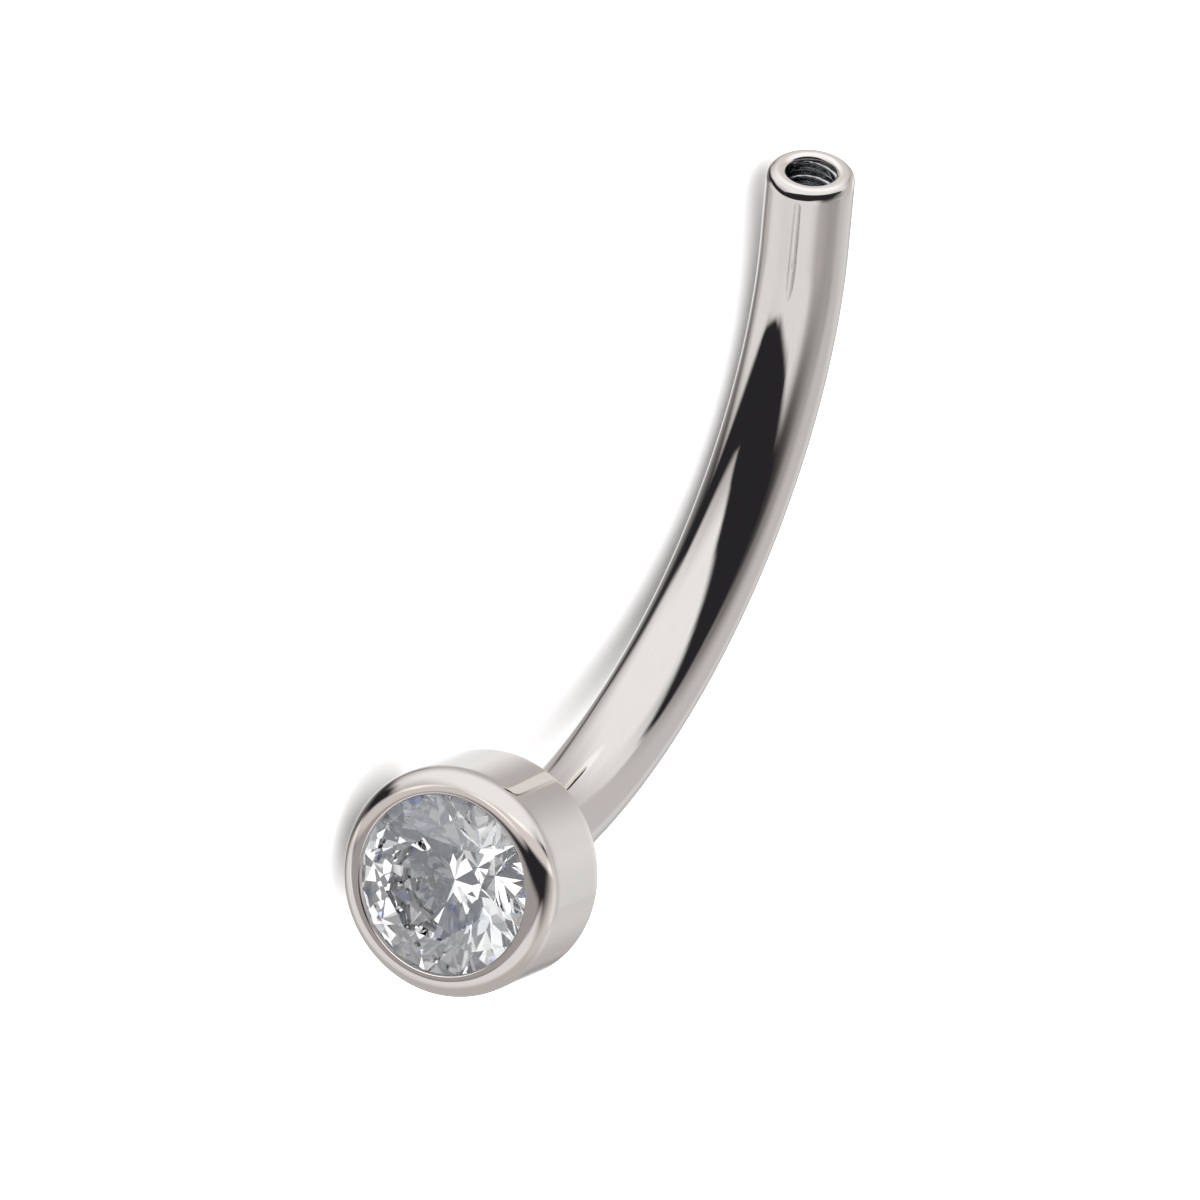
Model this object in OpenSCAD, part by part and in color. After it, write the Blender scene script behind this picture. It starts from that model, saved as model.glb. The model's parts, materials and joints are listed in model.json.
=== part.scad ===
// Curved eyebrow barbell: a bent bar with a stone set in a bezel cup at one end and a
// threaded hole for a screw-in ball at the other. It lies on its side, as it rests by itself.
// Millimetres, +Z up, origin on the floor below the middle of the jewel.

/* [Bar] */
// Diameter of the bar, 16 gauge wire
bar_d = 1.2; // [1.2:0.05:1.6]
// Radius of the bend, to the middle of the bar
bend_r = 6; // [5:0.1:9]
// Angle of the bend, from the cup to the straight end
bend_angle = 108.5; // [90:0.5:120]
// Length of the straight stretch at the open end
straight_len = 1.2; // [1.2:0.1:2.5]
// Radius of the rounded outer edge at the open end
rim_round = 0.16; // [0.05:0.01:0.17]

/* [Threaded hole] */
// Diameter across the thread's crests
crest_d = 0.68; // [0.6:0.01:0.7]
// Diameter at the bottom of the thread's grooves
root_d = 0.86; // [0.8:0.01:0.88]
// Distance from one thread groove to the next
thread_pitch = 0.225; // [0.2:0.005:0.25]
// Number of thread grooves
thread_turns = 7; // [5:1:8]
// Width of the flat at the bottom of a groove
groove_flat = 0.03; // [0.02:0.01:0.04]
// Diameter of the chamfer at the mouth
mouth_d = 0.78; // [0.7:0.01:0.8]
// Plain length of the hole beyond the last groove
runout_len = 0.12; // [0.05:0.01:0.2]

/* [Cup] */
// Outer diameter of the cup
cup_d = 3.14; // [3.1:0.02:3.6]
// Height of the cup, from its back to the top of its lip
cup_h = 1.63; // [1.6:0.01:2]
// Radius of the lip's round outside
lip_round = 0.31; // [0.1:0.01:0.31]
// Radius of the lip's inner edge
lip_edge = 0.035; // [0.01:0.005:0.035]
// Radius of the cup's round back edge
back_round = 0.15; // [0.05:0.01:0.3]
// How far the metal is pressed over the stone's edge, all round
grip = 0.025; // [0.02:0.005:0.04]
// Depth from the top of the lip to the stone's widest edge
stone_drop = 0.12; // [0.1:0.01:0.14]
// Depth from the top of the lip to where the bend starts
bend_start = 1.33; // [1.2:0.01:1.5]

/* [Stone] */
// Diameter of the stone
stone_d = 2.5; // [2.4:0.02:2.5]
// Diameter of the table, as a part of the stone's diameter
table_part = 0.57; // [0.53:0.01:0.6]
// Height of the crown, as a part of the stone's diameter
crown_part = 0.15; // [0.13:0.005:0.16]
// Thickness of the girdle, as a part of the stone's diameter
girdle_part = 0.04; // [0.03:0.005:0.045]
// Depth of the pavilion, as a part of the stone's diameter
pavilion_part = 0.43; // [0.42:0.005:0.43]
// How far the stars reach from the table towards the girdle
star_part = 0.5; // [0.45:0.01:0.55]
// How far the lower girdle facets reach from the girdle towards the culet
lower_part = 0.77; // [0.74:0.01:0.8]

/* [Fit and pose] */
// Gap between the stone and its seat
stone_gap = 0.02; // [0.01:0.005:0.03]
// Direction the jewel leans in, measured from the cup's axis towards the open side of the bend
lean_bearing = 9.3; // [5:0.1:20]

/* [Hidden] */
$fn = 96;

bar_r = bar_d / 2;
crest_r = crest_d / 2;
root_r = root_d / 2;
mouth_r = mouth_d / 2;
cup_r = cup_d / 2;
stone_r = stone_d / 2;
opening_r = stone_r - grip;
seat_r = stone_r + stone_gap;

thread_len = thread_turns * thread_pitch;
bore_len = thread_len + runout_len;
// The chamfer opens at 45 degrees.
mouth_len = mouth_r - crest_r;
// A groove's sides lean at 30 degrees.
groove_half = groove_flat / 2 + (root_r - crest_r) * tan(30);
// How far a cutting shape passes the face that it opens
through = 0.1;

// Heights in the stone's own frame: 0 at the top of the girdle, +Z through the table
table_r = table_part * stone_r;
crown_h = crown_part * stone_d;
girdle_h = girdle_part * stone_d;
pavilion_h = pavilion_part * stone_d;
star_r = table_r + star_part * (stone_r - table_r);
star_z = facet_z(crown_h, stone_r, table_r, star_r);
lower_r = stone_r * (1 - lower_part);
lower_z = facet_z(pavilion_h, stone_r, 0, lower_r);
scallop_top = scallop(star_z, star_r);
scallop_low = scallop(lower_z, lower_r);

// The seat opens below the lip's grip, and narrows at 45 degrees to a hole behind the culet.
grip_z = star_z / (stone_r - star_r) * grip;
shoulder_depth = stone_drop - grip_z - stone_gap;
girdle_depth = stone_drop + girdle_h;
seat_hole_r = 0.2;
seat_floor = girdle_depth + pavilion_h + 2 * stone_gap;

// The jewel's own frame: x out of the cup from the top of its lip, the bend in the xy plane
// round a centre on the -y side, and z up towards the side that faces up at rest.
bend_centre = [-bend_start, -bend_r, 0];
open_dir = [-cos(bend_angle), -sin(bend_angle), 0];
bend_end = bend_centre + bend_r * [-sin(bend_angle), cos(bend_angle), 0];
open_end = bend_end + straight_len * open_dir;

// On its side the jewel touches the floor with the cup's back edge and with the outside of the
// bend. The up direction leans by lean_angle from z, which makes both touch at one height.
lean_x = cos(lean_bearing);
lean_y = -sin(lean_bearing);
back_x = back_round - cup_h;
back_r = cup_r - back_round;
lean_a = bend_r - (lean_x * bend_centre.x + lean_y * bend_centre.y) + lean_x * back_x;
lean_b = bar_r - back_round;
lean_q = lean_a ^ 2 + (back_r * lean_x) ^ 2;
lean_sin = (sqrt((lean_a * lean_b) ^ 2 - lean_q * (lean_b ^ 2 - back_r ^ 2)) - lean_a * lean_b) / lean_q;
lean_angle = asin(lean_sin);

// Seen from above, the line from the open end to the cup runs along x.
chord = -open_end;
chord_x = (lean_x * chord.x + lean_y * chord.y) * cos(lean_angle);
chord_y = lean_x * chord.y - lean_y * chord.x;
turn_angle = -atan2(chord_y, chord_x);

middle_x = (extent([1, 0, 0]) - extent([-1, 0, 0])) / 2;
middle_y = (extent([0, 1, 0]) - extent([0, -1, 0])) / 2;
lift = extent([0, 0, -1]);

// Height on a kite facet's middle line, where the facet spans from outer_r to inner_r over
// full_h, at a corner that is half a facet to the side and at radius r
function facet_z(full_h, outer_r, inner_r, r) =
    full_h * (outer_r - r * cos(22.5)) / (outer_r - inner_r);

// How far a girdle facet's plane passes the girdle's edge half way between two of its corners
function scallop(corner_z, corner_r) =
    let (middle_r = stone_r * cos(11.25))
    corner_z * (stone_r - middle_r) / (middle_r - corner_r * cos(11.25));

// Turns a direction of the resting frame back into the jewel's own frame
function to_jewel(d) =
    let (a = [d.x * cos(turn_angle) + d.y * sin(turn_angle),
              d.y * cos(turn_angle) - d.x * sin(turn_angle), d.z])
    let (b = [a.x * cos(lean_angle) + a.z * sin(lean_angle), a.y,
              a.z * cos(lean_angle) - a.x * sin(lean_angle)])
    [b.x * lean_x - b.y * lean_y, b.y * lean_x + b.x * lean_y, b.z];

// How far a ring reaches in direction u: its centre, its axis, its radius and its edge's round
function ring_reach(u, centre, axis, r, round_r) =
    u * centre + r * sqrt(max(0, 1 - (u * axis) ^ 2)) + round_r;

// How far the bend's outside reaches in direction u, where u points at the bend
function bend_reach(u) =
    let (turn = (atan2(u.y, u.x) - 90 + 360) % 360)
    turn < bend_angle ? u * bend_centre + bend_r * norm([u.x, u.y]) + bar_r : -bend_r;

// How far the whole jewel reaches from its own origin in a direction of the resting frame
function extent(d) =
    let (u = to_jewel(d))
    max(ring_reach(u, [-lip_round, 0, 0], [1, 0, 0], cup_r - lip_round, lip_round),
        ring_reach(u, [back_x, 0, 0], [1, 0, 0], back_r, back_round),
        ring_reach(u, [crown_h - stone_drop, 0, 0], [1, 0, 0], table_r, 0),
        ring_reach(u, open_end - rim_round * open_dir, open_dir, bar_r - rim_round, rim_round),
        bend_reach(u));

// Lays its children, built in the jewel's own frame, on the floor at rest.
module at_rest() {
    translate([-middle_x, -middle_y, lift])
        rotate([0, 0, turn_angle])
            rotate([0, -lean_angle, 0])
                rotate([0, 0, lean_bearing])
                    children();
}

// Puts its children on the straight end: z runs out of the open end, from the end of the bend.
module on_straight() {
    translate(bend_end)
        rotate([0, 0, bend_angle])
            rotate([0, -90, 0])
                children();
}

// The straight end, with its rounded rim
module straight_end() {
    rotate_extrude() {
        square([bar_r, straight_len - rim_round]);
        square([bar_r - rim_round, straight_len]);
        intersection() {
            translate([bar_r - rim_round, straight_len - rim_round])
                circle(rim_round);
            square([bar_r, straight_len]);
        }
    }
}

// The bar in the straight end's frame: the bend, from inside the cup, and the straight end
module bar() {
    straight_end();
    translate([0, -bend_r, 0])
        rotate([-90, 0, 90])
            rotate_extrude(angle = bend_angle)
                translate([bend_r, 0])
                    circle(d = bar_d);
}

// One thread groove round the hole, its middle at height 0
module thread_groove() {
    rotate_extrude()
        polygon([[crest_r / 2, -groove_half], [crest_r, -groove_half], [root_r, -groove_flat / 2],
                 [root_r, groove_flat / 2], [crest_r, groove_half], [crest_r / 2, groove_half]]);
}

// The space of the threaded hole: chamfered mouth, hole and thread grooves
module threaded_hole() {
    translate([0, 0, straight_len - mouth_len]) {
        cylinder(r1 = crest_r, r2 = mouth_r + through, h = mouth_len + through);
        translate([0, 0, -bore_len])
            cylinder(r = crest_r, h = bore_len + mouth_len);
        for (turn = [0.5 : 1 : thread_turns])
            translate([0, 0, -turn * thread_pitch])
                thread_groove();
    }
}

// The cup's outside: straight wall, round back edge and broad round lip, open side at height 0
module cup_outside() {
    rotate_extrude() {
        translate([0, back_round - cup_h])
            square([cup_r, cup_h - back_round - lip_round]);
        translate([0, -cup_h])
            square([cup_r - back_round, back_round]);
        translate([0, -lip_round])
            square([cup_r - lip_round, lip_round]);
        intersection() {
            union() {
                translate([cup_r - back_round, back_round - cup_h])
                    circle(back_round);
                translate([cup_r - lip_round, -lip_round])
                    circle(lip_round);
            }
            translate([0, -cup_h])
                square([cup_r, cup_h]);
        }
    }
}

// The space inside the cup: the round inner edge, the opening, the groove that holds the
// stone's edge, and the seat below it
module seat_space() {
    rotate_extrude() {
        translate([0, -girdle_depth])
            square([opening_r, girdle_depth + through]);
        difference() {
            translate([0, -lip_edge])
                square([opening_r + lip_edge, lip_edge + through]);
            translate([opening_r + lip_edge, -lip_edge])
                circle(lip_edge);
        }
        polygon([[0, -shoulder_depth], [seat_r, -shoulder_depth], [seat_r, -girdle_depth],
                 [seat_hole_r, seat_hole_r - seat_r - girdle_depth], [seat_hole_r, -seat_floor],
                 [0, -seat_floor]]);
    }
}

// The metal: bent bar, cup and straight end as one solid, with the seat and the hole cut out
module bar_and_cup() {
    color("#c9c3bb")
        at_rest()
            difference() {
                union() {
                    on_straight() bar();
                    rotate([0, 90, 0]) cup_outside();
                }
                rotate([0, 90, 0]) seat_space();
                on_straight() threaded_hole();
            }
}

// A ring of the stone's corners: count of them at radius r, height z, first at angle start
function corners(count, r, z, start = 0) =
    [for (i = [0 : count - 1]) let (a = start + i * 360 / count) [r * cos(a), r * sin(a), z]];

// The stone, table up: every facet is flat, and a corner's number is its ring's start plus its
// place in the ring.
module brilliant() {
    table = 0;
    star = 8;
    top_girdle = 16;
    top_scallop = 32;
    low_girdle = 48;
    low_scallop = 64;
    lower = 80;
    culet = 88;
    points = concat(
        corners(8, table_r, crown_h, 22.5),
        corners(8, star_r, star_z),
        corners(16, stone_r, 0),
        corners(16, stone_r, -scallop_top, 11.25),
        corners(16, stone_r, -girdle_h),
        corners(16, stone_r, scallop_low - girdle_h, 11.25),
        corners(8, lower_r, -girdle_h - lower_z),
        [[0, 0, -girdle_h - pavilion_h]]);
    faces = concat(
        [[for (i = [7 : -1 : 0]) table + i]],
        [for (i = [0 : 7]) each let (
            next = (i + 1) % 8,
            last = (i + 7) % 8,
            g = 2 * i,
            kite = 2 * i + 1,
            g_next = 2 * next,
            near_low = (2 * i + 15) % 16)
            [[table + last, table + i, star + i],
             [table + i, star + next, top_girdle + kite, star + i],
             [star + i, top_girdle + kite, top_scallop + g, top_girdle + g],
             [star + next, top_girdle + g_next, top_scallop + kite, top_girdle + kite],
             [culet, lower + i, low_girdle + kite, lower + next],
             [lower + i, low_girdle + g, low_scallop + g, low_girdle + kite],
             [lower + i, low_girdle + near_low, low_scallop + near_low, low_girdle + g]]],
        [for (i = [0 : 15]) each let (next = (i + 1) % 16)
            [[top_girdle + i, top_scallop + i, low_scallop + i, low_girdle + i],
             [top_scallop + i, top_girdle + next, low_girdle + next, low_scallop + i]]]);
    polyhedron(points, faces);
}

module stone() {
    color("#eef3fa", 0.6)
        at_rest()
            translate([-stone_drop, 0, 0])
                rotate([0, 90, 0])
                    brilliant();
}

bar_and_cup();
stone();
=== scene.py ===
# %% [markdown]
# # A curved eyebrow barbell, dressed for its picture
# The jewel is a bent bar of mirror polished titanium. One end carries a cup with a clear round
# stone, and the other end is open, with a thread inside for a screw-in ball. The CAD model
# already holds every size. Here the bar and the cup are made again as smooth, finely divided
# skins, because a mirror shows each flat of a coarse mesh. The stone keeps its exact CAD facets.

# %% Load the CAD frame
import json
import math

import bmesh
import bpy
from mathutils import Matrix, Vector


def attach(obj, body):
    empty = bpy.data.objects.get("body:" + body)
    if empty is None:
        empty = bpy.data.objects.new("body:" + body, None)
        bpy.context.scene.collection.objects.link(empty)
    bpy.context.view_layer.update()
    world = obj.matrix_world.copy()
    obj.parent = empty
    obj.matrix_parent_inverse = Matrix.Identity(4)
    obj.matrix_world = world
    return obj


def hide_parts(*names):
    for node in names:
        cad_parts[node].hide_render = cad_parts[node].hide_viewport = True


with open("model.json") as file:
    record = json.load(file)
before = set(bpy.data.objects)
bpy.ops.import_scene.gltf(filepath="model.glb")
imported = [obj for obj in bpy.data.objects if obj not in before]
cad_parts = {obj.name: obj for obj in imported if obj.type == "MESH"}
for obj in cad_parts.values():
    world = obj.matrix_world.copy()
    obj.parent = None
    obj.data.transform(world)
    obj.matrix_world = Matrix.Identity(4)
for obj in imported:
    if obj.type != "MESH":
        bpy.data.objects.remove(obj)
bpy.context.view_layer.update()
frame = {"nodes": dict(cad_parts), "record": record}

# %% [markdown]
# ## Sizes
# A lesson is easier to follow when each size has a name. These are the jeweller's sizes of the
# bar, the hole, the cup and the stone's seat, in millimetres, the same as in the CAD source.
# Blender works in metres, so a made mesh is scaled once, when it is laid in its place.

# %% The jeweller's sizes, in millimetres
MM = 0.001

BAR_R = 0.6
BEND_R = 6.0
BEND_ANGLE = math.radians(108.5)
STRAIGHT = 1.2
RIM_ROUND = 0.16

CREST_R = 0.34
ROOT_R = 0.43
PITCH = 0.225
TURNS = 7
GROOVE_FLAT = 0.03
RUNOUT = 0.12
MOUTH_R = 0.39

CUP_R = 1.57
CUP_H = 1.63
LIP_ROUND = 0.31
LIP_EDGE = 0.035
BACK_ROUND = 0.15
BEND_START = 1.33

OPENING_R = 1.225
SEAT_R = 1.27
SHOULDER = 0.0777
GIRDLE = 0.22
SEAT_HOLE_R = 0.2
SEAT_FLOOR = 1.335

ARC = BEND_R * BEND_ANGLE
print("bar, from the bend's start to the open end:", round(ARC + STRAIGHT, 2), "mm")

# %% [markdown]
# ## Where the jewel lies
# The jewel rests on its side, on the back edge of its cup and the side of its bend, so it leans
# by about 11 degrees. It is drawn level in its own frame, with x out of the cup and the bend in
# the xy plane. The record gives the axis of the threaded hole and that of the bar at the middle of
# the bend. Two directions in one plane fix a frame, so the leaning place follows from them and
# nothing has to be fitted by eye.

# %% From the jewel's own frame to its place on the floor
mounts = {m["name"]: m for m in frame["record"]["mounts"]}
hole_axis = Vector(mounts["ball_thread"]["axis"])
bar_axis = Vector(mounts["worn_length"]["axis"])
half_bend = BEND_ANGLE / 2

jewel_z = hole_axis.cross(bar_axis).normalized()
jewel_x = math.cos(half_bend) * bar_axis - math.sin(half_bend) * jewel_z.cross(bar_axis)
jewel_x.normalize()
jewel_y = jewel_z.cross(jewel_x)
bend_middle = Vector((-BEND_START - BEND_R * math.sin(half_bend),
                      -BEND_R + BEND_R * math.cos(half_bend), 0)) * MM
turn = Matrix((jewel_x, jewel_y, jewel_z)).transposed()
place = Matrix.Translation(Vector(mounts["worn_length"]["pos_m"]) - turn @ bend_middle)
REST = place @ turn.to_4x4() @ Matrix.Scale(MM, 4)
print("the cup's lip is centred at", [round(1000 * v, 3) for v in REST.translation], "mm")

# %% [markdown]
# ## The camera
# The photograph looks at the jewel from far away with a long lens, so near and far parts have
# the same scale. Its direction was found by fitting the bar's two edges and the ellipse of the
# lip. The camera is rolled well over, because the jewel lies on its side here and hangs upright
# in the picture. The plain view transform keeps white paper white, and light may bounce often,
# because a ray that runs out of bounces inside the stone comes back as a false black spot.

# %% The camera at the photograph's angle
CAMERA_AT = Vector((0.1004913, -0.3430163, 0.2283206))
CAMERA_RIGHT = Vector((-0.5103712, 0.3672823, 0.7775763))
CAMERA_UP = Vector((-0.8267888, -0.4582610, -0.3262163))
CAMERA_BACK = CAMERA_RIGHT.cross(CAMERA_UP).normalized()
CAMERA_LENS = 949.07
ALL_BOUNCES = 32
MIRROR_BOUNCES = 24


def new_object(name, data):
    """An object in the scene that shows a mesh, a camera or a lamp."""
    made = bpy.data.objects.new(name, data)
    bpy.context.scene.collection.objects.link(made)
    return made


scene = bpy.context.scene
camera = new_object("camera", bpy.data.cameras.new("camera"))
camera.data.sensor_width = 36
camera.data.lens = CAMERA_LENS
camera.data.clip_start = 0.01
camera.data.clip_end = 20
camera.matrix_world = (Matrix.Translation(CAMERA_AT)
                       @ Matrix((CAMERA_RIGHT, CAMERA_UP, CAMERA_BACK)).transposed().to_4x4())
bpy.context.scene.camera = camera
scene.view_settings.view_transform = "Standard"
scene.cycles.max_bounces = ALL_BOUNCES
scene.cycles.glossy_bounces = MIRROR_BOUNCES
scene.cycles.transmission_bounces = MIRROR_BOUNCES
print("camera", round(CAMERA_AT.length, 3), "m away")

# %% [markdown]
# ## A profile with rounded corners
# The bar and the cup were both turned on a lathe, and a turned shape is only a line spun round
# an axis. Such a line is given here as corners, each with a place along the axis, a radius and
# the round that polishing leaves on it. One helper swaps each corner for an arc and divides the
# long stretches, and it notes where the rounds are, for the painted highlight that the metal
# puts on them. A broad round gets more points than a small one, so that both look smooth.

# %% Corners to a smooth line
FEWEST_PARTS = 3
PARTS_PER_RADIAN = 4
MORE_PARTS_PER_MM = 30


def rounded_line(corners, step):
    """Points (along, radius, share of edge) through corners (along, radius, round)."""
    line = [(corners[0][0], corners[0][1], 0.0)]
    for before, here, after in zip(corners, corners[1:], corners[2:]):
        corner, rounding = Vector(here[:2]), here[2]
        back, ahead = Vector(before[:2]) - corner, Vector(after[:2]) - corner
        back.normalize()
        ahead.normalize()
        opening = back.angle(ahead)
        reach = rounding / math.tan(opening / 2)
        centre = corner + (back + ahead).normalized() * rounding / math.sin(opening / 2)
        first, last = corner + back * reach - centre, corner + ahead * reach - centre
        sweep = first.angle_signed(last)
        parts = FEWEST_PARTS + round(abs(sweep) * (PARTS_PER_RADIAN
                                                   + MORE_PARTS_PER_MM * rounding))
        for i in range(parts + 1):
            spoke = first.copy()
            spoke.rotate(Matrix.Rotation(-sweep * i / parts, 2))
            # Each point of a round gets this share of the painted edge highlight.
            edge_highlight = math.sin(math.pi * i / parts)
            line.append((centre.x + spoke.x, centre.y + spoke.y, edge_highlight))
    line.append((corners[-1][0], corners[-1][1], 0.0))
    dense = []
    for a, b in zip(line, line[1:]):
        parts = max(1, math.ceil(math.dist(a[:2], b[:2]) / step))
        dense += [tuple(u + (v - u) * i / parts for u, v in zip(a, b)) for i in range(parts)]
    return dense + [line[-1]]


one_corner = [(0, 0, 0), (0, 1, RIM_ROUND), (1, 1, 0)]
corner_points = rounded_line(one_corner, step=1)[1:-1]
print("a corner with the rim's round becomes", len(corner_points), "points")

# %% A line that the lathe can read
def profile_object(name, points, marks):
    """A mesh of one line, with a value for each point under each name in marks."""
    mesh = bpy.data.meshes.new(name)
    mesh.from_pydata([(x, r, 0) for x, r, _ in points],
                     [(i, i + 1) for i in range(len(points) - 1)], [])
    for title, values in marks.items():
        mesh.attributes.new(title, "FLOAT", "POINT").data.foreach_set("value", values)
    print(name, "has a profile of", len(points), "points")
    return new_object(name, mesh)


print("profile_object:", profile_object.__doc__)

# %% [markdown]
# ## Small helpers for node trees
# A node tree built in a script is easier to read when a sum is one line. Each helper adds one
# node, joins what it is given, sockets or plain numbers, and hands back the node's result.

# %% Helpers that add nodes
def add(tree, kind, inputs=(), **settings):
    """Adds a node, sets it, and joins or sets its inputs, given by name or number."""
    made = tree.nodes.new(kind)
    for key, value in settings.items():
        setattr(made, key, value)
    for key, value in dict(inputs).items():
        if isinstance(value, bpy.types.NodeSocket):
            tree.links.new(value, made.inputs[key])
        else:
            made.inputs[key].default_value = value
    return made


def calc(tree, operation, *values):
    return add(tree, "ShaderNodeMath", enumerate(values), operation=operation).outputs[0]


def vector_calc(tree, operation, *values):
    made = add(tree, "ShaderNodeVectorMath", enumerate(values), operation=operation)
    return made.outputs["Value" if operation in ("DOT_PRODUCT", "LENGTH") else "Vector"]


def vector_of(tree, x, y, z):
    return add(tree, "ShaderNodeCombineXYZ", {"X": x, "Y": y, "Z": z}).outputs[0]


def ramp(tree, value, start, end, first=0.0, last=1.0, smooth=False):
    """Runs from first to last while the value runs from start to end, and is level beyond."""
    made = add(tree, "ShaderNodeMapRange",
               {"Value": value, "From Min": start, "From Max": end, "To Min": first,
                "To Max": last}, interpolation_type="SMOOTHSTEP" if smooth else "LINEAR")
    return made.outputs["Result"]


def blend(tree, mask, under, over):
    """Mixes one colour over another. Each may be a socket or four numbers."""
    return add(tree, "ShaderNodeMix", {"Factor": mask, 6: under, 7: over},
               data_type="RGBA").outputs[2]


def painted_mark(tree, name):
    """The node that reads a value kept on the points of a mesh."""
    return add(tree, "ShaderNodeAttribute", attribute_name=name, attribute_type="GEOMETRY")


print("node helpers: add, calc, vector_calc, vector_of, ramp, blend and painted_mark")

# %% Helpers that start a group and a material
def new_group(name, kind, inputs, outputs):
    """A node group with named sockets. Returns the tree, its input node and its output node."""
    tree = bpy.data.node_groups.new(name, kind)
    for title, (socket, value) in inputs.items():
        made = tree.interface.new_socket(title, in_out="INPUT", socket_type=socket)
        if value is not None:
            made.default_value = value
    for title, socket in outputs.items():
        tree.interface.new_socket(title, in_out="OUTPUT", socket_type=socket)
    return tree, tree.nodes.new("NodeGroupInput"), tree.nodes.new("NodeGroupOutput")


def new_material(name):
    """A material with its node tree and its Principled shader."""
    made = bpy.data.materials.new(name)
    made.use_nodes = True
    return made, made.node_tree, made.node_tree.nodes["Principled BSDF"]


print("tree helpers: new_group and new_material")

# %% [markdown]
# ## The lathe
# Geometry Nodes can spin the line: a grid has one row for each point of the profile and one
# column for each step of the turn. Every grid point looks up its profile point and is set at
# that radius and its own angle. Curve to Mesh would spin a line too, but the grid gives each
# point's angle and place along the bar, and the thread and the bend both need those.

# %% A grid that reads the profile
def spin_on_lathe(tree, profile, steps):
    """Adds the grid. Returns it, along, radius and angle, and a reader of the line's marks."""
    count = add(tree, "GeometryNodeAttributeDomainSize", {"Geometry": profile},
                component="MESH").outputs["Point Count"]
    columns = calc(tree, "ADD", steps, 1)
    grid = add(tree, "GeometryNodeMeshGrid", {"Size X": 1.0, "Size Y": 1.0,
                                              "Vertices X": count, "Vertices Y": columns})
    at = add(tree, "ShaderNodeSeparateXYZ", {0: add(tree, "GeometryNodeInputPosition").outputs[0]})
    row = calc(tree, "ROUND", calc(tree, "MULTIPLY", calc(tree, "ADD", at.outputs["X"], 0.5),
                                   calc(tree, "SUBTRACT", count, 1)))
    angle = calc(tree, "MULTIPLY", calc(tree, "ADD", at.outputs["Y"], 0.5), math.tau)

    def look_up(value, data_type):
        found = add(tree, "GeometryNodeSampleIndex", {"Geometry": profile, "Value": value,
                                                      "Index": row},
                    data_type=data_type, domain="POINT")
        return found.outputs["Value"]

    def mark(title):
        named = add(tree, "GeometryNodeInputNamedAttribute", {"Name": title}, data_type="FLOAT")
        return look_up(named.outputs["Attribute"], "FLOAT")

    point = look_up(add(tree, "GeometryNodeInputPosition").outputs[0], "FLOAT_VECTOR")
    parts = add(tree, "ShaderNodeSeparateXYZ", {0: point})
    return grid.outputs["Mesh"], parts.outputs["X"], parts.outputs["Y"], angle, mark


print("spin_on_lathe:", spin_on_lathe.__doc__)

# %% Close the skin
SEAM_GAP = 0.0002


def finish_skin(tree, output, mesh, position, marks):
    """Keeps the marks, moves the grid's points, closes seam and poles, and ends the tree."""
    for title, (kind, value) in marks.items():
        mesh = add(tree, "GeometryNodeStoreNamedAttribute",
                   {"Geometry": mesh, "Name": title, "Value": value},
                   data_type=kind, domain="POINT").outputs["Geometry"]
    moved = add(tree, "GeometryNodeSetPosition", {"Geometry": mesh, "Position": position})
    closed = add(tree, "GeometryNodeMergeByDistance",
                 {"Geometry": moved.outputs["Geometry"], "Distance": SEAM_GAP})
    smooth = add(tree, "GeometryNodeSetShadeSmooth", {0: closed.outputs["Geometry"]})
    real = add(tree, "GeometryNodeRealizeInstances", {0: smooth.outputs[0]})
    painted = add(tree, "GeometryNodeSetMaterial", {0: real.outputs[0]})
    tree.links.new(painted.outputs[0], output.inputs["Geometry"])


print("seam and poles are closed where points are within", SEAM_GAP, "mm")

# %% From a line to a plain mesh
def run_tree(piece, tree, values, material):
    """Runs a tree on a piece, and turns the result into a plain mesh at its place at rest."""
    for step in tree.nodes:
        if step.bl_idname == "GeometryNodeSetMaterial":
            step.inputs["Material"].default_value = material
    modifier = piece.modifiers.new(tree.name, "NODES")
    modifier.node_group = tree
    for item in tree.interface.items_tree:
        if item.item_type == "SOCKET" and item.in_out == "INPUT" and item.name in values:
            modifier[item.identifier] = values[item.name]
    graph = bpy.context.evaluated_depsgraph_get()
    mesh = bpy.data.meshes.new_from_object(piece.evaluated_get(graph), depsgraph=graph,
                                           preserve_all_data_layers=True)
    piece.modifiers.clear()
    line, piece.data = piece.data, mesh
    bpy.data.meshes.remove(line)
    shape = bmesh.new()
    shape.from_mesh(mesh)
    volume = shape.calc_volume(signed=True)
    if volume < 0:
        bmesh.ops.reverse_faces(shape, faces=shape.faces)
        shape.to_mesh(mesh)
    open_edges = sum(1 for edge in shape.edges if not edge.is_manifold)
    shape.free()
    mesh.name = piece.name
    mesh.materials.clear()
    mesh.materials.append(material)
    mesh.transform(REST)
    triangles = sum(len(p.vertices) - 2 for p in mesh.polygons)
    print(f"{piece.name}: {triangles} triangles, {abs(volume):.2f} cubic mm, "
          f"{open_edges} open edges, material {mesh.materials[0].name}")


print("run_tree:", run_tree.__doc__)

# %% [markdown]
# ## Wear that the bar and the cup share
# A mirror polish is never quite even. The last wheel leaves hair lines that follow the bar,
# handling adds a few finer nicks, and the polish is a little softer in some places. All of it
# is far weaker than the reflections, and it only shows where light breaks on it. It is made
# once as a group that reads the unbent coordinates that the lathe keeps, so the lines follow
# the bar round its bend.

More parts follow.
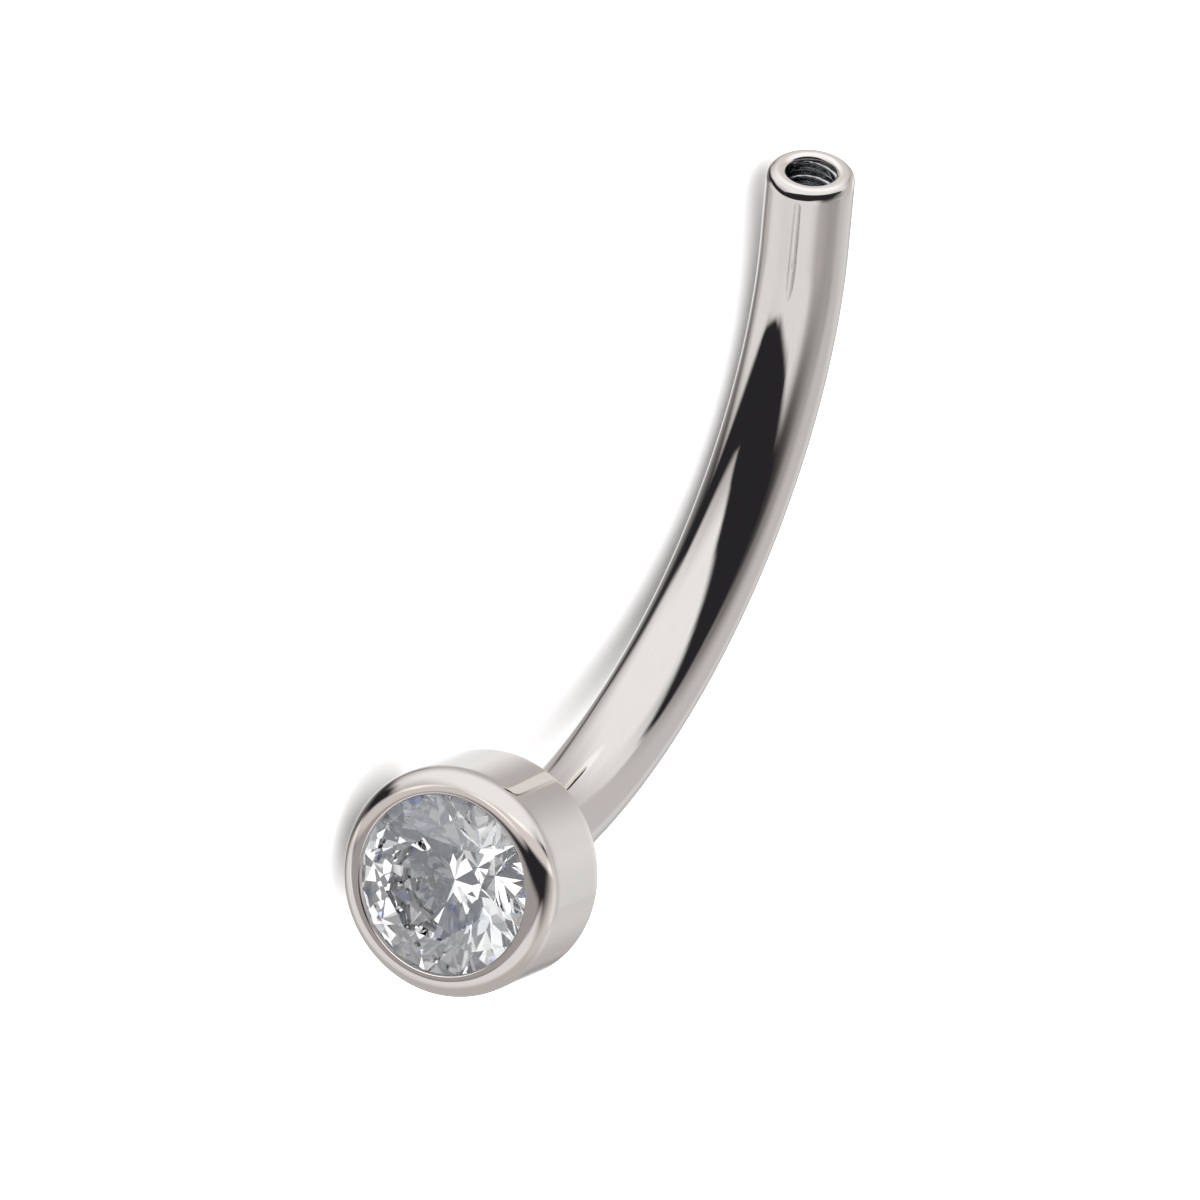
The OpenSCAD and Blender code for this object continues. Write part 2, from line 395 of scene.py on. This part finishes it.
# %% Polishing marks as a shader group
def polish_group():
    tree, given, out = new_group(
        "polishing marks", "ShaderNodeTree",
        {"Along Bar": ("NodeSocketVector", None), "Fineness": ("NodeSocketFloat", 1.0),
         "Stretch": ("NodeSocketFloat", 0.1)},
        {"Lines": "NodeSocketFloat", "Clouds": "NodeSocketFloat", "Nicks": "NodeSocketFloat"})
    along = given.outputs["Along Bar"]
    fineness = given.outputs["Fineness"]
    scale = vector_of(tree, calc(tree, "MULTIPLY", fineness, given.outputs["Stretch"]),
                      fineness, fineness)
    lines = add(tree, "ShaderNodeTexNoise", {"Vector": vector_calc(tree, "MULTIPLY", along, scale),
                                             "Scale": 38.0, "Detail": 4.0, "Roughness": 0.6})
    clouds = add(tree, "ShaderNodeTexNoise", {"Vector": along, "Scale": 0.9, "Detail": 3.0})
    nicks = add(tree, "ShaderNodeTexNoise", {"Vector": along, "Scale": 7.0, "Detail": 5.0,
                                             "Roughness": 0.7})
    few = ramp(tree, nicks.outputs["Fac"], 0.66, 0.78, smooth=True)
    tree.links.new(lines.outputs["Fac"], out.inputs["Lines"])
    tree.links.new(clouds.outputs["Fac"], out.inputs["Clouds"])
    tree.links.new(few, out.inputs["Nicks"])
    return tree


POLISH = polish_group()
print("group:", POLISH.name)

# %% [markdown]
# ## Mirror polished titanium
# Titanium is a warm grey metal, and nearly all that it shows is what stands round it. The
# Principled shader does that with full metallic and a low roughness. Its base colour drifts a
# little between warmer and cooler grey, the rounds of the edges are painted brighter, a painted
# highlight, and the marks above stir the colour, the roughness and a very shallow bump. The
# drilled hole keeps the drill's duller finish. The bar mirrors the cup as a thin streak, so the
# cup's own copy of the metal is painted near white and made softer where it is only seen in a
# mirror, a painted reflection, and the streak all but goes.

# %% The metal's material
WARM_GREY = (0.875, 0.828, 0.794, 1)
COOL_GREY = (0.855, 0.818, 0.793, 1)
# Painted highlight: the brighter grey that the rounds of the edges are painted.
EDGE_HIGHLIGHT_GREY = (0.91, 0.855, 0.815, 1)
HAIR_LINE_GREY = (0.70, 0.66, 0.63, 1)
DRILLED_GREY = (0.60, 0.61, 0.62, 1)
# Painted reflection: the near white that the cup is painted where only the bar mirrors it.
MIRROR_PAINTED_WHITE = (0.98, 0.99, 1.0, 1)
POLISHED_ROUGHNESS = 0.045


def polished_metal(name, softened):
    """The metal, and how far, from 0 to 1, it is softened and painted near white where it is
    mirrored in metal.
    """
    made, tree, shader = new_material(name)
    shader.inputs["Metallic"].default_value = 1.0
    marks = add(tree, "ShaderNodeGroup", {"Along Bar": painted_mark(tree, "lay").outputs["Vector"],
                                          "Fineness": 1.0, "Stretch": 0.08}, node_tree=POLISH)
    lines, clouds, nicks = (marks.outputs[title] for title in ("Lines", "Clouds", "Nicks"))
    edge = painted_mark(tree, "edge").outputs["Fac"]
    bored = painted_mark(tree, "bored").outputs["Fac"]
    ray = add(tree, "ShaderNodeLightPath")
    mirrored = calc(tree, "MULTIPLY", ray.outputs["Is Glossy Ray"], softened)

    colour = blend(tree, clouds, WARM_GREY, COOL_GREY)
    # Painted highlight: the rounds of the edges are painted brighter.
    colour = blend(tree, ramp(tree, edge, 0.0, 1.0, 0.0, 0.35), colour, EDGE_HIGHLIGHT_GREY)
    colour = blend(tree, ramp(tree, lines, 0.35, 0.65, 0.0, 0.10), colour, HAIR_LINE_GREY)
    colour = blend(tree, bored, colour, DRILLED_GREY)
    # Painted reflection: where the bar mirrors the cup, the cup's colour is painted near white.
    colour = blend(tree, mirrored, colour, MIRROR_PAINTED_WHITE)
    tree.links.new(colour, shader.inputs["Base Color"])

    rough = POLISHED_ROUGHNESS
    # A row is the mark, the value at which it adds nothing, and the roughness that it adds.
    for mark, level, share in ((lines, 0.5, 0.05), (clouds, 0.5, 0.06), (nicks, 0.0, 0.06),
                               (bored, 0.0, 0.06), (mirrored, 0.0, 0.45)):
        more = calc(tree, "MULTIPLY", calc(tree, "SUBTRACT", mark, level), share)
        rough = calc(tree, "ADD", rough, more)
    tree.links.new(rough, shader.inputs["Roughness"])

    height = calc(tree, "SUBTRACT", lines, calc(tree, "MULTIPLY", nicks, 0.8))
    bump = add(tree, "ShaderNodeBump", {"Strength": 0.10, "Distance": 0.000002,
                                        "Height": height})
    tree.links.new(bump.outputs["Normal"], shader.inputs["Normal"])
    return made


TITANIUM = polished_metal("polished_titanium", 0.0)
CUP_TITANIUM = polished_metal("polished_titanium_cup", 1.0)
print("materials:", TITANIUM.name, "and", CUP_TITANIUM.name)

# %% [markdown]
# ## The bar
# On the real jewel a length of wire is faced off, drilled and tapped at one end, and bent over
# a former. The same order works here: the lathe spins the straight bar with its hole, the
# thread is cut, and the last step bends it. The thread is one helix: its groove is where the
# place along the bar, plus the turned share of a pitch, is near the middle of a pitch. It could
# be a separate sweep joined in with a boolean, but moving the skin itself leaves a clean mesh.

# %% The tree that threads and bends a bar
FLANK_ANGLE = math.radians(30)


def bar_tree():
    tree, given, out = new_group(
        "bent bar", "GeometryNodeTree",
        {"Geometry": ("NodeSocketGeometry", None), "Steps Round": ("NodeSocketInt", 160),
         "Bend Radius": ("NodeSocketFloat", 6.0), "Bend Angle": ("NodeSocketFloat", 1.9),
         "Bend Start": ("NodeSocketFloat", 1.3), "Thread Pitch": ("NodeSocketFloat", 0.2),
         "Groove Depth": ("NodeSocketFloat", 0.09), "Groove Flat": ("NodeSocketFloat", 0.03)},
        {"Geometry": "NodeSocketGeometry"})
    size = given.outputs
    mesh, along, radius, angle, mark = spin_on_lathe(tree, size["Geometry"], size["Steps Round"])

    turned = calc(tree, "ADD", calc(tree, "DIVIDE", along, size["Thread Pitch"]),
                  calc(tree, "DIVIDE", angle, math.tau))
    off = calc(tree, "MULTIPLY", size["Thread Pitch"],
               calc(tree, "ABSOLUTE", calc(tree, "SUBTRACT", calc(tree, "FRACT", turned), 0.5)))
    flank = calc(tree, "MULTIPLY", size["Groove Depth"], math.tan(FLANK_ANGLE))
    half_flat = calc(tree, "MULTIPLY", size["Groove Flat"], 0.5)
    depth = ramp(tree, off, half_flat, calc(tree, "ADD", half_flat, flank), 1.0, 0.0)
    cut = calc(tree, "MULTIPLY", calc(tree, "MULTIPLY", depth, mark("threaded")),
               size["Groove Depth"])
    radius = calc(tree, "ADD", radius, cut)
    outward = calc(tree, "MULTIPLY", radius, calc(tree, "COSINE", angle))
    upward = calc(tree, "MULTIPLY", radius, calc(tree, "SINE", angle))

    arc = calc(tree, "MULTIPLY", size["Bend Radius"], size["Bend Angle"])
    turn_by = calc(tree, "DIVIDE", calc(tree, "MINIMUM", along, arc), size["Bend Radius"])
    beyond = calc(tree, "MAXIMUM", calc(tree, "SUBTRACT", along, arc), 0.0)
    sine, cosine = calc(tree, "SINE", turn_by), calc(tree, "COSINE", turn_by)
    reach = calc(tree, "ADD", size["Bend Radius"], outward)
    x = calc(tree, "ADD", calc(tree, "MULTIPLY", reach, sine), size["Bend Start"])
    x = calc(tree, "MULTIPLY", calc(tree, "ADD", x, calc(tree, "MULTIPLY", beyond, cosine)), -1.0)
    y = calc(tree, "SUBTRACT", calc(tree, "SUBTRACT", calc(tree, "MULTIPLY", reach, cosine),
                                    size["Bend Radius"]), calc(tree, "MULTIPLY", beyond, sine))
    lay = vector_of(tree, along, outward, upward)
    finish_skin(tree, out, mesh, vector_of(tree, x, y, upward),
                {"lay": ("FLOAT_VECTOR", lay), "edge": ("FLOAT", mark("edge")),
                 "bored": ("FLOAT", mark("bored"))})
    return tree


BENT_BAR = bar_tree()
print("tree:", BENT_BAR.name, "with", len(BENT_BAR.nodes), "nodes")

# %% The bar's profile, from inside the cup to the bottom of the hole
BAR_START = 0.12
LEAD_IN = 0.03
THREAD_FADE = 0.06
BORE_SLACK = 0.01

end = ARC + STRAIGHT
mouth = end - (MOUTH_R - CREST_R)
thread_end = mouth - TURNS * PITCH
bottom = thread_end - RUNOUT

outside = rounded_line([(BAR_START, 0, 0), (BAR_START, BAR_R, 0.03), (end, BAR_R, RIM_ROUND),
                        (end, MOUTH_R, 0.1), (mouth, CREST_R, 0.06),
                        (mouth - LEAD_IN, CREST_R, 0)], step=0.055)
inside = rounded_line([(mouth - LEAD_IN, CREST_R, 0), (bottom, CREST_R, 0.02), (bottom, 0, 0)],
                      step=0.0125)
bar_points = outside + inside[1:]
threaded, bored = [], []
for along, radius, _ in bar_points:
    in_hole = along < mouth and abs(radius - CREST_R) < 1e-6
    from_mouth, from_end = mouth - along, along - thread_end
    fade = max(0.0, min(1.0, from_mouth / THREAD_FADE, from_end / THREAD_FADE))
    threaded.append(fade if in_hole else 0.0)
    drilled = min(1.0, max(0.0, from_mouth / LEAD_IN))
    bored.append(drilled if radius <= CREST_R + BORE_SLACK else 0.0)
bar = profile_object("bar", bar_points, {"edge": [e for _, _, e in bar_points],
                                         "threaded": threaded, "bored": bored})

# %% Spin, thread and bend the bar
run_tree(bar, BENT_BAR, {
    "Steps Round": 160, "Bend Radius": BEND_R, "Bend Angle": BEND_ANGLE,
    "Bend Start": BEND_START, "Thread Pitch": PITCH, "Groove Depth": ROOT_R - CREST_R,
    "Groove Flat": GROOVE_FLAT}, TITANIUM)

# %% [markdown]
# ## The cup
# The cup is turned from a rod: a straight wall, a broad round lip that was pressed over the
# stone's edge, and a seat inside it at 45 degrees. The stone is clear, so the seat shows
# through it and is made as carefully as the outside.

# %% The tree that turns a cup
def cup_tree():
    tree, given, out = new_group(
        "turned cup", "GeometryNodeTree",
        {"Geometry": ("NodeSocketGeometry", None), "Steps Round": ("NodeSocketInt", 192)},
        {"Geometry": "NodeSocketGeometry"})
    mesh, along, radius, angle, mark = spin_on_lathe(
        tree, given.outputs["Geometry"], given.outputs["Steps Round"])
    across = calc(tree, "MULTIPLY", radius, calc(tree, "COSINE", angle))
    upward = calc(tree, "MULTIPLY", radius, calc(tree, "SINE", angle))
    spot = vector_of(tree, along, across, upward)
    finish_skin(tree, out, mesh, spot,
                {"lay": ("FLOAT_VECTOR", spot), "edge": ("FLOAT", mark("edge"))})
    return tree


TURNED_CUP = cup_tree()
print("tree:", TURNED_CUP.name, "with", len(TURNED_CUP.nodes), "nodes")

# %% Turn the cup
# The lip's outer and inner rounds would just meet, so a hair's breadth is left between them.
BETWEEN_ROUNDS = 0.0005

cone_end = GIRDLE + SEAT_R - SEAT_HOLE_R
cup_points = rounded_line([
    (-CUP_H, 0, 0), (-CUP_H, CUP_R, BACK_ROUND), (0, CUP_R, LIP_ROUND),
    (0, OPENING_R, LIP_EDGE - BETWEEN_ROUNDS), (-SHOULDER, OPENING_R, 0.004),
    (-SHOULDER, SEAT_R, 0.004), (-GIRDLE, SEAT_R, 0.01), (-cone_end, SEAT_HOLE_R, 0.005),
    (-SEAT_FLOOR, SEAT_HOLE_R, 0.01), (-SEAT_FLOOR, 0, 0)], step=0.1)
cup = profile_object("cup", cup_points, {"edge": [e for _, _, e in cup_points]})
run_tree(cup, TURNED_CUP, {"Steps Round": 256}, CUP_TITANIUM)

# %% [markdown]
# ## The clear stone
# Cubic zirconia bends light about twice as much as window glass, so a ray that enters the top
# is thrown back by the lower facets, and each facet shows some other part of the room. The CAD
# facets are exact and flat, so the CAD node stays and only gets this material. Small blue and
# rosy flecks are painted into the stone's tint in places, painted glints of its coloured fire,
# and it has hair lines from the polishing lap. The stone's outer faces are softened where only
# the bar mirrors them, as the cup is.

# %% The stone's material
ZIRCONIA_IOR = 2.16
STONE_WHITE = (0.985, 0.985, 0.985, 1)
MIRRORED_STONE_ROUGHNESS = 0.6
# A row is the painted glint flecks' scale, their shift and their tint.
FIRE_GLINT_FLECKS = [(2300.0, 0.0, (0.45, 0.52, 1.0, 1)), (1900.0, 5.0, (1.0, 0.86, 0.76, 1)),
          (1200.0, 9.0, (0.86, 0.92, 1.0, 1))]


def clear_stone():
    made, tree, shader = new_material("clear_zirconia")
    shader.inputs["Transmission Weight"].default_value = 1.0
    shader.inputs["IOR"].default_value = ZIRCONIA_IOR
    ray = add(tree, "ShaderNodeLightPath")
    side = add(tree, "ShaderNodeNewGeometry")
    front = calc(tree, "SUBTRACT", 1.0, side.outputs["Backfacing"])
    mirrored = calc(tree, "MULTIPLY", ray.outputs["Is Glossy Ray"], front)
    tree.links.new(calc(tree, "MULTIPLY", mirrored, MIRRORED_STONE_ROUGHNESS),
                   shader.inputs["Roughness"])
    spot = add(tree, "ShaderNodeTexCoord").outputs["Object"]
    colour = STONE_WHITE
    # Painted glints: blue and rosy flecks are painted into the stone's colour.
    for size, shift, tint in FIRE_GLINT_FLECKS:
        moved = vector_calc(tree, "ADD", spot, (shift, shift, shift))
        glint_spots = add(tree, "ShaderNodeTexNoise", {"Vector": moved, "Scale": size, "Detail": 1.0})
        few = ramp(tree, glint_spots.outputs["Fac"], 0.66, 0.70, smooth=True)
        colour = blend(tree, few, colour, tint)
    tree.links.new(colour, shader.inputs["Base Color"])
    lap = add(tree, "ShaderNodeTexNoise", {"Vector": spot, "Scale": 9000.0, "Detail": 3.0})
    bump = add(tree, "ShaderNodeBump", {"Strength": 0.02, "Distance": 0.000001,
                                        "Height": lap.outputs["Fac"]})
    tree.links.new(bump.outputs["Normal"], shader.inputs["Normal"])
    return made


stone = frame["nodes"]["stone"]
stone.data.materials.clear()
stone.data.materials.append(clear_stone())

# %% [markdown]
# ## The table it lies on
# A pale, matt sheet of card, far larger than the jewel. Glossy rays pass it by, as they do when
# a jewel is photographed on glass high over the table: the polish then shows the studio round
# it and not the sheet. The stone sees the sheet a little darker, so that it keeps its contrast.

# %% The floor
FLOOR_HALF = 2
PAPER_GREY = (0.90, 0.90, 0.90, 1)
FIBRE_GREY = (0.92, 0.92, 0.92, 1)
SHEET_SEEN_BY_STONE = (0.56, 0.56, 0.56, 1)


def pale_card():
    made, tree, shader = new_material("pale_card")
    spot = add(tree, "ShaderNodeTexCoord")
    fibres = add(tree, "ShaderNodeTexNoise", {"Vector": spot.outputs["Object"],
                                              "Scale": 900.0, "Detail": 4.0})
    paper = blend(tree, fibres.outputs["Fac"], PAPER_GREY, FIBRE_GREY)
    ray = add(tree, "ShaderNodeLightPath")
    shown = blend(tree, ray.outputs["Is Transmission Ray"], paper, SHEET_SEEN_BY_STONE)
    tree.links.new(shown, shader.inputs["Base Color"])
    shader.inputs["Roughness"].default_value = 0.9
    shader.inputs["Specular IOR Level"].default_value = 0.1
    return made


sheet = bpy.data.meshes.new("floor")
sheet.from_pydata([(x * FLOOR_HALF, y * FLOOR_HALF, 0)
                   for x, y in ((-1, -1), (1, -1), (1, 1), (-1, 1))], [], [(0, 1, 2, 3)])
floor = new_object("floor", sheet)
floor.data.materials.append(pale_card())
floor.visible_glossy = False
print("floor:", 2 * FLOOR_HALF, "m square")

# %% [markdown]
# ## The studio
# A mirror shows its surroundings, so the surroundings are the true finish of this jewel. The
# camera looks through a dark screen with bright walls on either side. The screen reflects as
# the long dark band down the bar, and a second arm of it hugs the bar's edge. Each stretch of
# the screen is a rounded strip between two directions in the sky, with a soft border, and a
# bright or dim wall is a wide strip with a softer one.

# %% A strip of screen or wall, as a group
def strip_group():
    tree, given, out = new_group(
        "strip in the sky", "ShaderNodeTree",
        {"Direction": ("NodeSocketVector", None), "Start": ("NodeSocketVector", None),
         "End": ("NodeSocketVector", None), "Start Width": ("NodeSocketFloat", 0.2),
         "End Width": ("NodeSocketFloat", 0.2), "Softness": ("NodeSocketFloat", 0.05)},
        {"Mask": "NodeSocketFloat"})
    size = given.outputs
    way = vector_calc(tree, "SUBTRACT", size["End"], size["Start"])
    seen = vector_calc(tree, "SUBTRACT", size["Direction"], size["Start"])
    share = add(tree, "ShaderNodeClamp", {"Value": calc(
        tree, "DIVIDE", vector_calc(tree, "DOT_PRODUCT", seen, way),
        vector_calc(tree, "DOT_PRODUCT", way, way))}).outputs[0]
    scaled = add(tree, "ShaderNodeVectorMath", {0: way, "Scale": share}, operation="SCALE")
    off = vector_calc(tree, "LENGTH", vector_calc(tree, "SUBTRACT", seen, scaled.outputs[0]))
    wider = calc(tree, "SUBTRACT", size["End Width"], size["Start Width"])
    width = calc(tree, "ADD", size["Start Width"], calc(tree, "MULTIPLY", share, wider))
    mask = ramp(tree, off, calc(tree, "SUBTRACT", width, size["Softness"]),
                calc(tree, "ADD", width, size["Softness"]), 1.0, 0.0, smooth=True)
    tree.links.new(mask, out.inputs["Mask"])
    return tree


def sky_direction(across, upward):
    """A direction in the room, from degrees to the right of the camera and above it."""
    off, way = math.radians(math.hypot(across, upward)), math.atan2(upward, across)
    return (CAMERA_RIGHT * math.sin(off) * math.cos(way)
            + CAMERA_UP * math.sin(off) * math.sin(way) + CAMERA_BACK * math.cos(off))


STRIP = strip_group()
print("group:", STRIP.name, "with", len(STRIP.nodes), "nodes")

# %% The screen and the walls, as tables
# A screen row is right, up, half width and softness, and the screen runs from row to row.
# A wall row is from, to, half width at each end, softness and level. Angles are in degrees.
SCREEN = [(70.6, 20.1, 5.7, 3.8), (30.6, -1.4, 25.3, 4), (27.9, -0.5, 23.2, 4.4),
          (-10.8, -10.1, 30.1, 3.3), (-41, -15.7, 25.1, 1.6), (-53.2, -19.5, 17.9, 1.6),
          (-70.5, -10.2, 16.6, 4.1), (-92.4, 40, 10.8, 4.4), (-96.5, 98.3, 3.3, 4.6),
          (-53.5, 122.3, 2, 4.6)]
WALLS = [((-105.6, -22.4), (-3.3, -44.4), 16.3, 30.4, 8.3, 0.80),
         ((77.2, -0.4), (119.2, -14.4), 27.2, 24.5, 20.4, 1.6),
         ((-107.6, 56.9), (-115.8, -125.4), 14.5, 17.9, 5.5, 0.05),
         ((-153.5, 48.8), (-135.8, 66.7), 14.8, 3.2, 39.8, 0.6),
         ((-45, 163), (22, 149), 9, 9, 10, 0.9),
         ((-135.9, 115.1), (124.6, 125.3), 16.5, 7.5, 15.4, 1.12),
         ((108.2, -19.6), (125, -42.6), 30.9, 3.5, 33.3, 0.05),
         ((-1.5, 50.8), (-38.4, 74.4), 60, 31.1, 20.6, 0.94),
         ((102.1, 27.2), (100.1, -0.1), 15.7, 32, 4, 0.58),
         ((43.9, -11.8), (7.3, 0.7), 34.2, 3.1, 22.1, 0.05)]
ROOM_LEVEL = 0.494
SCREEN_LEVEL = 0.022
SCREEN_SEEN_BY_STONE = 0.25
# Tints are shares of red, green and blue.
WALL_TINT = (0.985, 1.004, 1.010)
DIM_WALL_TINT = (0.085, -0.020, -0.060)
SCREEN_TINT = (1.01, 0.985, 1.13)
SCREEN_TINT_IN_STONE = (0.97, 1.0, 1.07)
print("strips of screen:", len(SCREEN) - 1, "and of wall:", len(WALLS))

# %% Hang the screen and the walls
def tinted(level, tint):
    """A colour of one level and a tint."""
    return tuple(level * share for share in tint) + (1,)


def wall_grey(level):
    """Bright walls are white, and dim ones a little warmer."""
    dim = max(0.0, 1.0 - level)
    return tinted(level, [share + dim * more for share, more in zip(WALL_TINT, DIM_WALL_TINT)])


def strip_mask(tree, direction, start, end_at, start_width, end_width, soft):
    return add(tree, "ShaderNodeGroup", {
        "Direction": direction, "Start": sky_direction(*start), "End": sky_direction(*end_at),
        "Start Width": math.radians(start_width), "End Width": math.radians(end_width),
        "Softness": math.radians(soft)}, node_tree=STRIP).outputs["Mask"]


world = bpy.data.worlds.new("studio")
world.use_nodes = True
scene.world = world
room = world.node_tree
ways = add(room, "ShaderNodeTexCoord").outputs["Generated"]
sky = wall_grey(ROOM_LEVEL)
for *shape, level in WALLS:
    sky = blend(room, strip_mask(room, ways, *shape), sky, wall_grey(level))
screen = 0.0
for (*start, width, soft), (*end_at, end_width, _) in zip(SCREEN, SCREEN[1:]):
    found = strip_mask(room, ways, start, end_at, width, end_width, soft)
    screen = calc(room, "MAXIMUM", screen, found)
ray = add(room, "ShaderNodeLightPath")
cloth = blend(room, ray.outputs["Is Transmission Ray"], tinted(SCREEN_LEVEL, SCREEN_TINT),
              tinted(SCREEN_SEEN_BY_STONE, SCREEN_TINT_IN_STONE))
sky = blend(room, screen, sky, cloth)
room.links.new(sky, room.nodes["Background"].inputs["Color"])
print("world:", world.name, "with", len(room.nodes), "nodes")

# %% [markdown]
# ## Small cards beside the cup
# The cup's round lip would mirror the whole dark screen. Photographers stand small white cards a
# few millimetres from such a lip, out of the picture, and light comes back where they are. Each
# card is an oval with a soft border that faces the cup. It adds its light to what is behind it,
# and only the cup takes part in that, so the bar keeps its clean dark band. One more card lights
# the rim of the open end, and only the bar sees it.

# %% A card that lends its light to one piece
CARD_WHITE = (1.04, 0.99, 0.965, 1)


def only(piece):
    """A collection of one piece, which a card can be told to light."""
    alone = bpy.data.collections.new(piece.name + "_only")
    alone.objects.link(piece)
    return alone


def small_card(name, centre, seen_by, row):
    """A card that faces centre, from one row of the tables in the next cell."""
    across, upward, distance, long, short, turned, soft, level = row
    facing = sky_direction(across, upward).normalized()
    level_way = (CAMERA_RIGHT - CAMERA_RIGHT.dot(facing) * facing).normalized()
    level_way.rotate(Matrix.Rotation(math.radians(turned), 3, facing))
    other_way = facing.cross(level_way)
    reach = 1 + soft
    corners = [(reach, reach), (-reach, reach), (-reach, -reach), (reach, -reach)]
    mesh = bpy.data.meshes.new(name)
    mesh.from_pydata([centre + MM * (facing * distance + level_way * long * a
                                     + other_way * short * b) for a, b in corners],
                     [], [(0, 1, 2, 3)])
    disc = mesh.attributes.new("disc", "FLOAT_VECTOR", "POINT")
    disc.data.foreach_set("vector", [v for a, b in corners for v in (a, b, 0)])
    glow, tree, _ = new_material(name)
    tree.nodes.clear()
    from_middle = vector_calc(tree, "LENGTH", painted_mark(tree, "disc").outputs["Vector"])
    light = add(tree, "ShaderNodeEmission", {
        "Color": CARD_WHITE,
        "Strength": ramp(tree, from_middle, 1 - soft, 1 + soft, level, 0.0, smooth=True)})
    clear = add(tree, "ShaderNodeBsdfTransparent")
    both = add(tree, "ShaderNodeAddShader", {0: light.outputs[0], 1: clear.outputs[0]})
    add(tree, "ShaderNodeOutputMaterial", {"Surface": both.outputs[0]})
    mesh.materials.append(glow)
    card = new_object(name, mesh)
    card.visible_camera = card.visible_diffuse = card.visible_transmission = False
    card.visible_shadow = False
    card.light_linking.receiver_collection = seen_by
    return card


print("small_card:", small_card.__doc__)

# %% Small cards for the lip and the rim
# A row is right and up in degrees, distance, two half sizes in mm, turn, softness and level.
LIP_CARDS = [(-53.8, 15.3, 4.96, 6.56, 1.2, -22.3, 0.36, 0.61),
             (-42.5, -30, 8.09, 11.16, 2.37, 8, 0.31, 0.34),
             (24.4, 21.2, 3.62, 6.05, 0.65, -0.7, 0.40, 0.68),
             (72.8, -35.6, 6.89, 4.01, 3.37, -7.6, 0.63, 0.27)]
RIM_CARD = (18, 90, 1.3, 1.25, 1.45, 0, 0.3, 0.2)

rim_middle = REST @ Vector((-BEND_START - BEND_R * math.sin(BEND_ANGLE)
                            - STRAIGHT * math.cos(BEND_ANGLE),
                            -BEND_R + BEND_R * math.cos(BEND_ANGLE)
                            - STRAIGHT * math.sin(BEND_ANGLE), 0))
cup_only, bar_only = only(cup), only(bar)
cards = [small_card(f"lip_card_{i}", REST.translation, cup_only, row)
         for i, row in enumerate(LIP_CARDS)]
cards.append(small_card("rim_card", rim_middle, bar_only, RIM_CARD))
print("small cards:", len(cards), "and the rim is centred at",
      [round(1000 * v, 2) for v in rim_middle], "mm")

# %% [markdown]
# ## A soft lamp for the shadow
# The walls light the sheet only dimly. One round lamp, 3 m wide and nearly overhead, makes the
# sheet white and leaves a short soft shadow where the jewel touches it. It is kept out of the
# reflections and out of the stone, which the walls and the cards light.

# %% The lamp
LAMP_WIDTH = 3.0
LAMP_WATTS = 70.0
LAMP_AT = Vector((0.05, 0.05, 0.8))

lamp = new_object("soft_lamp", bpy.data.lights.new("soft_lamp", "AREA"))
lamp.data.shape = "DISK"
lamp.data.size = LAMP_WIDTH
lamp.data.energy = LAMP_WATTS
lamp.location = LAMP_AT
lamp.rotation_mode = "QUATERNION"
lamp.rotation_quaternion = LAMP_AT.to_track_quat("Z", "Y")
lamp.visible_glossy = lamp.visible_transmission = False
print("lamp:", LAMP_WATTS, "W over a disc", LAMP_WIDTH, "m wide")

# %% [markdown]
# ## Hand the pieces over
# The bar and the cup stand for the CAD node that holds both, and everything rides on the one
# body, because the jewel has no joint.

# %% Ride, replace and finish
for piece in (bar, cup):
    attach(piece, "root")
    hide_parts("bar_and_cup")
